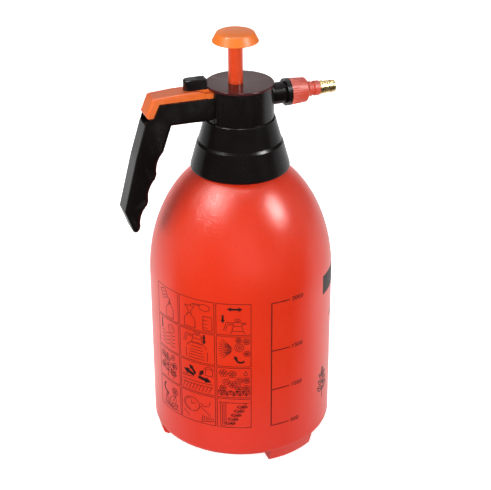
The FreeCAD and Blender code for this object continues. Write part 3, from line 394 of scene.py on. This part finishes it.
def on_tank(across, up, proud):
    """The point of the tank's skin at a place on the print, moved out by proud."""
    turn = math.radians(PRINT_FACES) + across / WALL_MM
    outward = Vector((math.cos(turn), math.sin(turn), 0.0))
    start = Vector((0.0, 0.0, up * MM)) + outward * TANK_RADIUS * 2.0
    spot, normal, _, _ = TANK_TREE.ray_cast(start, -outward)
    return spot + normal * proud


def evenly(points):
    """The same path with extra points, so that a stroke can bend round the tank."""
    path = [points[0]]
    for (x0, y0), (x1, y1) in zip(points, points[1:]):
        steps = max(1, math.ceil(math.hypot(x1 - x0, y1 - y0) / INK_STEP))
        path += [(x0 + (x1 - x0) * k / steps, y0 + (y1 - y0) * k / steps) for k in range(1, steps + 1)]
    return path


def side_steps(path):
    """The unit vector across the path at each of its points."""
    sides = []
    for i in range(len(path)):
        x0, y0 = path[max(i - 1, 0)]
        x1, y1 = path[min(i + 1, len(path) - 1)]
        length = math.hypot(x1 - x0, y1 - y0) or 1.0
        sides.append((-(y1 - y0) / length, (x1 - x0) / length))
    return sides


def lay_stroke(shape, points, width, end_width=None):
    """Add one closed strip of ink to a bmesh, tapering to end_width if that is given."""
    path = evenly(points)
    last_width = width if end_width is None else end_width
    rings = []
    for i, ((x, y), (side_x, side_y)) in enumerate(zip(path, side_steps(path))):
        share = i / (len(path) - 1)
        half = (width + (last_width - width) * share) / 2
        left = (x + side_x * half, y + side_y * half)
        right = (x - side_x * half, y - side_y * half)
        corners = ((left, INK_PROUD), (right, INK_PROUD), (right, -INK_SUNK), (left, -INK_SUNK))
        rings.append([shape.verts.new(on_tank(*spot, proud)) for spot, proud in corners])
    for first, second in zip(rings, rings[1:]):
        for k in range(4):
            following = (k + 1) % 4
            shape.faces.new((first[k], first[following], second[following], second[k]))
    shape.faces.new(rings[0][::-1])
    shape.faces.new(rings[-1])


def print_piece(name, strokes, material):
    """One printed piece made of closed strips that follow the tank's skin."""
    shape = bmesh.new()
    for stroke in strokes:
        lay_stroke(shape, *stroke)
    bmesh.ops.recalc_face_normals(shape, faces=shape.faces)
    mesh = bpy.data.meshes.new(name)
    shape.to_mesh(mesh)
    shape.free()
    piece = bpy.data.objects.new(name, mesh)
    bpy.context.scene.collection.objects.link(piece)
    mesh.materials.append(material)
    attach(piece, "tank")
    return piece


def curve(centre_x, centre_y, radius_x, radius_y, start=0.0, end=360.0):
    """An elliptical arc as a path."""
    count = max(6, int(abs(end - start) / 18))
    angles = [math.radians(start + (end - start) * k / count) for k in range(count + 1)]
    return [(centre_x + radius_x * math.cos(t), centre_y + radius_y * math.sin(t)) for t in angles]


def moved(strokes, across, up):
    """The same strokes somewhere else on the print."""
    return [([(x + across, y + up) for x, y in stroke[0]], *stroke[1:]) for stroke in strokes]


def fine(*paths):
    """Paths as strokes of the fine line."""
    return [(path, FINE) for path in paths]


def rectangle(x0, y0, x1, y1, width=FINE):
    """A frame of four strokes."""
    return [([(x0, y0), (x1, y0)], width), ([(x1, y0), (x1, y1)], width),
            ([(x1, y1), (x0, y1)], width), ([(x0, y1), (x0, y0)], width)]


def arrow(x0, y0, x1, y1, shaft=BOLD, head=3.4):
    """A bold arrow: a shaft and a tapering head."""
    length = math.hypot(x1 - x0, y1 - y0)
    neck = 1.0 - min(0.8, head * 0.8 / length)
    middle = (x0 + (x1 - x0) * neck, y0 + (y1 - y0) * neck)
    return [([(x0, y0), middle], shaft), ([middle, (x1, y1)], head, 0.1)]


def flask(x, y, width, tall):
    """The outline of a bottle with round shoulders, standing on (x, y)."""
    half = width / 2
    neck = half * 0.4
    return fine([(x - half, y), (x + half, y)], [(x - half, y), (x - half, y + tall * 0.55)],
                [(x + half, y), (x + half, y + tall * 0.55)],
                curve(x, y + tall * 0.55, half, tall * 0.3, 0, 66),
                curve(x, y + tall * 0.55, half, tall * 0.3, 114, 180),
                [(x - neck, y + tall * 0.82), (x - neck, y + tall)],
                [(x + neck, y + tall * 0.82), (x + neck, y + tall)],
                [(x - neck, y + tall), (x + neck, y + tall)])


def pump_head(x, y):
    """A pump head seen from the side: cone, block, spout and bent grip."""
    return fine([(x - 4, y), (x - 3, y + 4), (x + 3, y + 4), (x + 4, y), (x - 4, y)],
                [(x - 3, y + 4), (x - 3, y + 7), (x + 3, y + 7), (x + 3, y + 4)],
                [(x + 3, y + 6.2), (x + 6, y + 6.6)], [(x + 3, y + 5.2), (x + 6, y + 5.6)],
                [(x - 3, y + 6.4), (x - 8, y + 7), (x - 10, y)],
                [(x - 3, y + 5), (x - 7, y + 5.4), (x - 8.6, y)],
                [(x, y + 7), (x, y + 9)], curve(x, y + 9, 2.0, 0.9))


LEAF_STEPS = 6
LEAF_BULGES = (0.28, -0.28, 0.0)
COIL_STEPS = 14


def leaf(x, y, long, turn):
    """A pointed leaf with a mid rib, growing from (x, y)."""
    cos_t = math.cos(math.radians(turn))
    sin_t = math.sin(math.radians(turn))
    sides = []
    for bulge in LEAF_BULGES:
        shares = [k / LEAF_STEPS for k in range(LEAF_STEPS + 1)]
        sides.append([(x + long * (s * cos_t - bulge * math.sin(math.pi * s) * sin_t),
                       y + long * (s * sin_t + bulge * math.sin(math.pi * s) * cos_t)) for s in shares])
    return fine(*sides)


def sprig(x, y, tall, pairs=3):
    """A stem with pairs of leaves."""
    strokes = fine([(x, y), (x + tall * 0.06, y + tall * 0.5), (x, y + tall)])
    for k in range(pairs):
        up = y + tall * (0.3 + 0.25 * k)
        long = tall * (0.36 - 0.05 * k)
        strokes += leaf(x, up, long, 30) + leaf(x, up, long, 150)
    return strokes + leaf(x, y + tall * 0.9, tall * 0.25, 90)


def coil(x, y, radius, turns=2.2):
    """A spiral that opens out from its centre."""
    count = int(turns * COIL_STEPS)
    path = []
    for k in range(count + 1):
        share = k / count
        angle = share * math.tau * turns
        path.append((x + radius * share * math.cos(angle), y + radius * share * math.sin(angle)))
    return fine(path)


def drop(x, y, radius):
    """The outline of a drop, pointed at the top."""
    tip = (x, y + radius * 2)
    return fine(curve(x, y, radius, radius, 150, 390), [(x - radius * 0.87, y + radius * 0.5), tip],
                [(x + radius * 0.87, y + radius * 0.5), tip])


def blossom(x, y, radius, petals=6):
    """A flower head: round petals about a small centre."""
    strokes = fine(curve(x, y, radius * 0.26, radius * 0.26))
    for k in range(petals):
        t = math.tau * k / petals
        middle_x = x + radius * 0.64 * math.cos(t)
        middle_y = y + radius * 0.64 * math.sin(t)
        strokes += fine(curve(middle_x, middle_y, radius * 0.34, radius * 0.34))
    return strokes


def fan(x, y, long, first, last, count):
    """Lines that spread from a point, like a spray."""
    strokes = []
    for k in range(count):
        t = math.radians(first + (last - first) * k / (count - 1))
        near = long * (0.25 if k % 2 else 0.4)
        strokes += fine([(x + near * math.cos(t), y + near * math.sin(t)),
                         (x + long * math.cos(t), y + long * math.sin(t))])
    return strokes


def pour_picture():
    """A tilted jug over an open bottle."""
    jug = fine([(-8, 9), (-2, 11), (1, 5), (-5, 2), (-8, 9)], [(1, 5), (3, 4)],
               curve(-6, 8, 1.6, 1.6, 60, 250), [(-6.6, 7), (-0.8, 8.6)], [(-5.6, 4.6), (0, 6.4)])
    return flask(3, -11, 8, 12) + jug + drop(3.2, 0.6, 0.7) + drop(3.2, 3.0, 0.5), []


def fill_picture():
    """A funnel in a bottle beside a measuring jug."""
    funnel = fine([(-8, 6), (-1, 6), (-3.6, 2), (-3.6, 0), (-5.4, 0), (-5.4, 2), (-8, 6)])
    jug = rectangle(5, -11, 11, 0) + fine([(5, -3), (8, -3)], [(5, -6), (8, -6)], [(5, -9), (8, -9)])
    stream = fine([(3, 9), (-2, 8.6), (-4.4, 6)], [(3, 8), (-2.4, 7.6)], curve(6, 7, 3.6, 2.6))
    return flask(-4.5, -11, 8, 11) + funnel + jug + stream, []


def screw_picture():
    """A pump head that is turned, with a bold arrow each way and one down."""
    bold = arrow(1, 8.4, -4.4, 8.4, head=3.6) + arrow(1, 8.4, 6.4, 8.4, head=3.6)
    bold += arrow(-7.5, 3.5, -7.5, -3, head=3.2)
    return pump_head(3, -9) + fine([(-1, -9), (-2.2, -11.4)], [(7, -9), (8.2, -11.4)]), bold


def wait_picture():
    """Ripples under a bold bar."""
    waves = [[(-8 + k * 1.6, level + 0.9 * math.sin(k * 1.3)) for k in range(11)]
             for level in (-8, -5, -2, 1)]
    clock = fine(curve(4, 6, 3.4, 3.4), [(4, 6), (4, 8.4)], [(4, 6), (5.8, 6)])
    return fine(*waves) + clock, [([(-7.5, 3), (-7.5, 11)], 1.3)]


def pump_picture():
    """A sprayer that is pumped, with stacked strokes below the knob."""
    rows = fine(*[[(-6 + k * 0.5, -10 + k * 2.4), (6 - k * 0.5, -10 + k * 2.4)] for k in range(5)])
    body = fine(curve(0, -3, 7.5, 6.5, 20, 160), [(-7.6, -3), (-7.6, -11)], [(7.6, -3), (7.6, -11)])
    return rows + body + pump_head(0.5, 2.5), arrow(5.5, 11, 5.5, 3.2, head=3.2)


def adjust_picture():
    """A nozzle seen from the front with a spray and a bold arrow round it."""
    rings = fine(curve(4, 3.6, 3.2, 3.2), curve(4, 3.6, 1.9, 1.9), curve(4, 3.6, 0.7, 0.7))
    bold = [(curve(5, -6.4, 3.0, 2.4, 330, 170), BOLD)] + arrow(2.2, -6.8, 0.6, -3.2, head=3.4)
    flowers = blossom(9, 8.5, 2.6) + blossom(9.4, -1.5, 2.4) + blossom(3.6, 9.4, 2.2)
    return rings + fan(1, 2, 12, 140, 220, 9) + fan(1, 2, 8, 145, 215, 7) + flowers, bold


def garden_picture():
    """Two sprigs and a ring of dots."""
    flowers = blossom(-7, 7, 3.2) + blossom(6.6, 1.4, 3.0) + blossom(-8, -2.6, 2.6)
    return sprig(-2, -11, 18) + sprig(5, -11, 11, 2) + coil(4.5, 8, 2.8) + flowers, []


def store_picture():
    """Hatched ground under bold arrows that point away from each other."""
    hatch = fine(*[[(-11 + k * 2.4, -11), (-9 + k * 2.4, -6)] for k in range(9)])
    ground = fine([(-11, -6), (11, -6)], [(-11, -3.6), (11, -3.6)])
    bold = arrow(-2, 1.5, -10, 5, shaft=2.6, head=5.2) + arrow(1, 1.2, 10, -1.5, shaft=2.6, head=5.2)
    bold += arrow(-1, 3, -5.6, 9.6, shaft=2.0, head=4.2) + arrow(2, 2.8, 4.8, 7.6, shaft=2.0, head=4.2)
    roof = fine([(5, 9), (8.4, 11.4), (11.6, 9)], [(-11, 0), (-6, 1)], [(-11, -1.4), (-3, 0)])
    return hatch + ground + rectangle(6, 3.5, 10.8, 9) + roof, bold


def plants_picture():
    """Curled plants under a hanging drop."""
    strokes = coil(-6, 1, 3.0) + coil(4, 2, 3.2, 2.8)
    for x, y, radius in ((-7.6, 8, 3.2), (-1, 7.4, 3.0), (9, 2.2, 2.6), (-1, -1.4, 3.0), (-8, -4.8, 2.6),
                         (3.4, -4.6, 2.6), (8.8, -4.4, 2.6)):
        strokes += blossom(x, y, radius)
    for x in (-9, -5, 0, 4.5, 9):
        strokes += leaf(x, -11, 5, 65) + leaf(x, -11, 5, 115)
    return strokes + drop(8.5, 7.5, 1.2), []


def shade_picture():
    """A leaf under a bold turned arrow."""
    bold = [(curve(-3, 5, 4.5, 4.0, 120, 240), BOLD)] + arrow(-5, 1.6, -1.6, -1.2, head=3.6)
    plants = leaf(0, -10, 13, 60) + leaf(-2, -10, 9, 110) + leaf(1, -10, 9, 25) + blossom(6, 5, 3.4)
    return plants + fine([(-9, -10), (10, -10)], [(-9, -8), (-3, -8)]), bold


def clock_picture():
    """A ring with a hand in it, beside rising grass."""
    ring = fine(curve(-4.5, 2, 6, 6), [(-4.5, 2), (-4.5, 6)], [(-4.5, 2), (-1.6, 3.4)])
    grass = fine(*[[(3 + k * 1.3, -10 + k * 0.3), (3.6 + k * 1.3, -5.4 - k * 0.2)] for k in range(7)])
    inner = fine(curve(-4.5, 2, 4.8, 4.8, 100, 260), curve(5.5, 6, 3.4, 3.4, 200, 380))
    return ring + inner + grass + fine([(2, -11), (12, -9)], [(-11, -5), (-6, -9)], [(2, 2), (9, -5)]), []


def window_picture():
    """A window frame with a climbing plant in it."""
    strokes = rectangle(-10, -11, -6, 9) + fine([(-11, 9), (11, 9)], [(-4, -11), (8, 9)])
    strokes += fine([(-8.6, -10), (-8.6, 8)], [(-7.4, -10), (-7.4, 8)], [(-2, -11), (9.4, 9)])
    for k in range(5):
        strokes += leaf(-2.4 + 2.2 * k, -9 + 3.6 * k, 4.4, 175) + leaf(-2.4 + 2.2 * k, -9 + 3.6 * k, 3.4, 5)
    return strokes, []


# The panel's columns are turns in degrees; its heights and the gap between its rows are millimetres.
# A picture is drawn about its own middle and reaches PICTURE_HALF each way.
PANEL_COLUMNS = ((-62.0, -41.8), (-40.6, -16.4), (-15.2, 6.0))
PANEL_LOW = 36.0
PANEL_HIGH = 142.5
PANEL_GAP = 1.3
PANEL_PICTURES = (
    (pour_picture, fill_picture, screw_picture),
    (wait_picture, pump_picture, adjust_picture),
    (garden_picture, store_picture, plants_picture),
    (shade_picture, clock_picture, window_picture),
)
PICTURE_HALF = 12.4


def scaled(strokes, share_x, share_y):
    """The same strokes made wider and taller, with their line widths kept."""
    return [([(x * share_x, y * share_y) for x, y in stroke[0]], *stroke[1:]) for stroke in strokes]


def instruction_panel():
    """Twelve framed line pictures, three across and four down."""
    fine_strokes = []
    bold_strokes = []
    rows = len(PANEL_PICTURES)
    tall = (PANEL_HIGH - PANEL_LOW - PANEL_GAP * (rows - 1)) / rows
    for row, pictures in enumerate(PANEL_PICTURES):
        top = PANEL_HIGH - row * (tall + PANEL_GAP)
        for (start, end), picture in zip(PANEL_COLUMNS, pictures):
            left = across_at(start)
            right = across_at(end)
            fine_strokes += rectangle(left, top - tall, right, top)
            lines, bold = picture()
            share_x = (right - left) / 2 / PICTURE_HALF
            share_y = tall / 2 / PICTURE_HALF
            middle = ((left + right) / 2, top - tall / 2)
            fine_strokes += moved(scaled(lines, share_x, share_y), *middle)
            bold_strokes += moved(scaled(bold, share_x, share_y), *middle)
    print_piece("panel_lines", fine_strokes, LINE_INK)
    print_piece("panel_arrows", bold_strokes, BOLD_INK)


# The scale's line stands at SCALE_TURN and its marks run to MARK_ENDS, both in degrees. SCALE_MARKS
# holds each mark's height in millimetres and its number.
SCALE_TURN = 18.8
SCALE_MARKS = ((35.4, "500"), (67.4, "1000"), (101.0, "1500"), (141.1, "2000"))
SCALE_LINE = 0.75
MARK_ENDS = 31.0
DIGITS_START = 32.6
DIGIT_TALL = 2.9
DIGIT_WIDE = 1.8
DIGIT_PITCH = 2.7
DIGIT_LINE = 0.62
# Each digit is drawn in a square of side one.
DIGIT_PATHS = {
    "0": [curve(0.5, 0.5, 0.5, 0.5)],
    "1": [[(0.2, 0.8), (0.55, 1.0), (0.55, 0.0)]],
    "2": [curve(0.5, 0.68, 0.46, 0.32, 165, -35), [(0.9, 0.5), (0.05, 0.0), (1.0, 0.0)]],
    "5": [[(0.95, 1.0), (0.15, 1.0), (0.1, 0.55)], curve(0.45, 0.33, 0.5, 0.33, 125, -140)],
}


def volume_scale():
    """The upright line with a mark and a number every half litre."""
    line = across_at(SCALE_TURN)
    strokes = [([(line, SCALE_MARKS[0][0]), (line, SCALE_MARKS[-1][0])], SCALE_LINE)]
    digits = []
    for level, number in SCALE_MARKS:
        strokes.append(([(line, level), (across_at(MARK_ENDS), level)], SCALE_LINE))
        for place, digit in enumerate(number):
            left = across_at(DIGITS_START) + place * DIGIT_PITCH
            for path in DIGIT_PATHS[digit]:
                digits.append(([(left + x * DIGIT_WIDE, level + (y - 0.5) * DIGIT_TALL) for x, y in path],
                               DIGIT_LINE))
    print_piece("scale_lines", strokes, LINE_INK)
    print_piece("scale_numbers", digits, LINE_INK)


# The banner is laid as rows of ink that stop a hair short of each other.
BANNER_TURNS = (62.0, 118.0)
BANNER_LEVELS = (129.5, 145.0)
BANNER_ROWS = 10
ROW_SHARE = 0.999

# Each sprig and each drop has a turn in degrees and a size.
SPRIGS = ((64.0, 1.2), (106.0, 1.3))
SPRIG_LEVEL = 38.0
SPRIG_TALL = 20.0
SIDE_DROPS = ((78.0, 1.0), (86.0, 1.3), (94.0, 1.6))
SIDE_DROP_LEVEL = 104.0
SIDE_DROP_RADIUS = 1.6
SIDE_LINE = 0.8


def side_label():
    """A plain dark banner with drops and sprigs below it, round on the side past the scale."""
    left, right = (across_at(turn) for turn in BANNER_TURNS)
    low, high = BANNER_LEVELS
    row = (high - low) / BANNER_ROWS
    bars = [([(left, low + (k + 0.5) * row), (right, low + (k + 0.5) * row)], row * ROW_SHARE)
            for k in range(BANNER_ROWS)]
    print_piece("side_banner", bars, BOLD_INK)
    plants = []
    for turn, share in SPRIGS:
        plants += moved(scaled(sprig(0, 0, SPRIG_TALL), share, share), across_at(turn), SPRIG_LEVEL)
    for turn, share in SIDE_DROPS:
        one = scaled(drop(0, 0, SIDE_DROP_RADIUS), share, share)
        plants += moved(one, across_at(turn), SIDE_DROP_LEVEL)
    print_piece("side_sprigs", [(path, SIDE_LINE) for path, _ in plants], BOLD_INK)


# --------------------------------------------------------------------------- stage

def make_camera():
    """The camera, in front of the printed side and a little above it."""
    data = bpy.data.cameras.new("camera")
    data.lens = CAMERA_LENS
    data.sensor_width = SENSOR
    camera = bpy.data.objects.new("camera", data)
    bpy.context.scene.collection.objects.link(camera)
    turn = (Matrix.Rotation(-CAMERA_YAW, 4, "Z") @ Matrix.Rotation(math.pi / 2 - CAMERA_PITCH, 4, "X")
            @ Matrix.Rotation(CAMERA_ROLL, 4, "Z"))
    camera.matrix_world = Matrix.Translation(CAMERA_PLACE) @ turn
    bpy.context.scene.camera = camera


def area_light(name, place, target, width, tall, power, fills):
    """A soft box that only glints, or a broad fill that only lights and is not seen in reflections."""
    data = bpy.data.lights.new(name, "AREA")
    data.shape = "RECTANGLE"
    data.size = width
    data.size_y = tall
    data.energy = power
    light = bpy.data.objects.new(name, data)
    bpy.context.scene.collection.objects.link(light)
    light.location = place
    light.rotation_euler = (target - place).to_track_quat("-Z", "Y").to_euler()
    light.visible_glossy = not fills
    light.visible_diffuse = fills


def make_floor():
    """A wide sheet of white paper; in reflections it is bright only behind the object."""
    half = FLOOR_HALF
    mesh = bpy.data.meshes.new("floor")
    mesh.from_pydata([(-half, -half, 0), (half, -half, 0), (half, half, 0), (-half, half, 0)], [],
                     [(0, 1, 2, 3)])
    floor = bpy.data.objects.new("floor", mesh)
    bpy.context.scene.collection.objects.link(floor)
    material, tree, shader = new_material("floor_paper")
    paper = mixed(tree, noise(tree, 3.0), (0.93, 0.93, 0.93), (0.95, 0.95, 0.95))
    behind = vector_maths(tree, "DOT_PRODUCT", object_coords(tree), AHEAD)
    lit = mapped(tree, behind, 0.0, 1.0, *FLOOR_LIT_FROM, smooth=True)
    seen = tree.nodes.new("ShaderNodeLightPath").outputs["Is Camera Ray"]
    reflected = mixed(tree, lit, (DARK_STUDIO,) * 3, (FLOOR_BOUNCE,) * 3)
    feed(tree, mixed(tree, seen, reflected, paper), shader.inputs["Base Color"])
    feed(tree, 0.9, shader.inputs["Roughness"])
    feed(tree, 0.0, shader.inputs["Specular IOR Level"])
    feed(tree, paper, shader.inputs["Emission Color"])
    glow = maths(tree, "MAXIMUM", maths(tree, "MULTIPLY", seen, FLOOR_GLOW),
                 maths(tree, "MULTIPLY", lit, FLOOR_BOUNCE))
    feed(tree, glow, shader.inputs["Emission Strength"])
    mesh.materials.append(material)


def make_world():
    """White for the camera; for everything else a bright backdrop behind the object and a dark room."""
    world = bpy.data.worlds.new("studio")
    world.use_nodes = True
    tree = world.node_tree
    direction = tree.nodes.new("ShaderNodeTexCoord").outputs["Generated"]
    level = vector_maths(tree, "NORMALIZE", vector_maths(tree, "MULTIPLY", direction, (1.0, 1.0, 0.0)))
    facing = vector_maths(tree, "DOT_PRODUCT", level, AHEAD)
    backdrop = mapped(tree, facing, DARK_STUDIO, BACKDROP_LIGHT, *BACKDROP_EDGE, smooth=True)
    seen = tree.nodes.new("ShaderNodeLightPath").outputs["Is Camera Ray"]
    strength = maths(tree, "MAXIMUM", backdrop, seen)
    background = tree.nodes["Background"]
    feed(tree, (1.0, 1.0, 1.0), background.inputs["Color"])
    feed(tree, strength, background.inputs["Strength"])
    bpy.context.scene.world = world


# Name, place, what it points at, width, height and watts.
SOFT_BOXES = (
    ("left_box", SHOULDER + LEFT_GLINT * LIGHT_RANGE, SHOULDER, 0.34, 0.40, 24.0),
    ("right_box", SHOULDER + RIGHT_GLINT * LIGHT_RANGE, SHOULDER, 0.32, 0.42, 17.0),
    ("top_box", Vector((0.0, -0.05, 1.6)), Vector((0.0, 0.0, 0.2)), 0.24, 0.24, 18.0),
)

# Name, place, width, height and watts. Every fill points at the middle of the tank.
TANK_MIDDLE = Vector((0.0, 0.0, 0.14))
FILLS = (
    ("front_fill", (-0.5, -1.5, 0.55), 1.2, 1.2, 21.5),
    ("low_fill", (0.3, -1.3, 0.10), 1.2, 0.6, 8.5),
    ("left_fill", (-1.4, 0.0, 0.4), 0.9, 0.9, 12.0),
    ("right_fill", (1.4, -0.1, 0.4), 0.9, 0.9, 6.5),
    ("back_fill", (0.3, 1.5, 0.7), 1.2, 1.2, 16.0),
    ("top_fill", (0.0, 0.0, 1.6), 1.0, 1.0, 3.5),
)


def make_lights():
    """Soft boxes for the glints on the shoulder and the ledges, and broad fills for the colour."""
    for name, place, target, width, tall, power in SOFT_BOXES:
        area_light(name, place, target, width, tall, power, fills=False)
    for name, place, width, tall, power in FILLS:
        area_light(name, Vector(place), TANK_MIDDLE, width, tall, power, fills=True)


dress_nodes()
valve_coil()
instruction_panel()
volume_scale()
side_label()
make_camera()
make_floor()
make_world()
make_lights()
bpy.context.scene.view_settings.view_transform = "Standard"
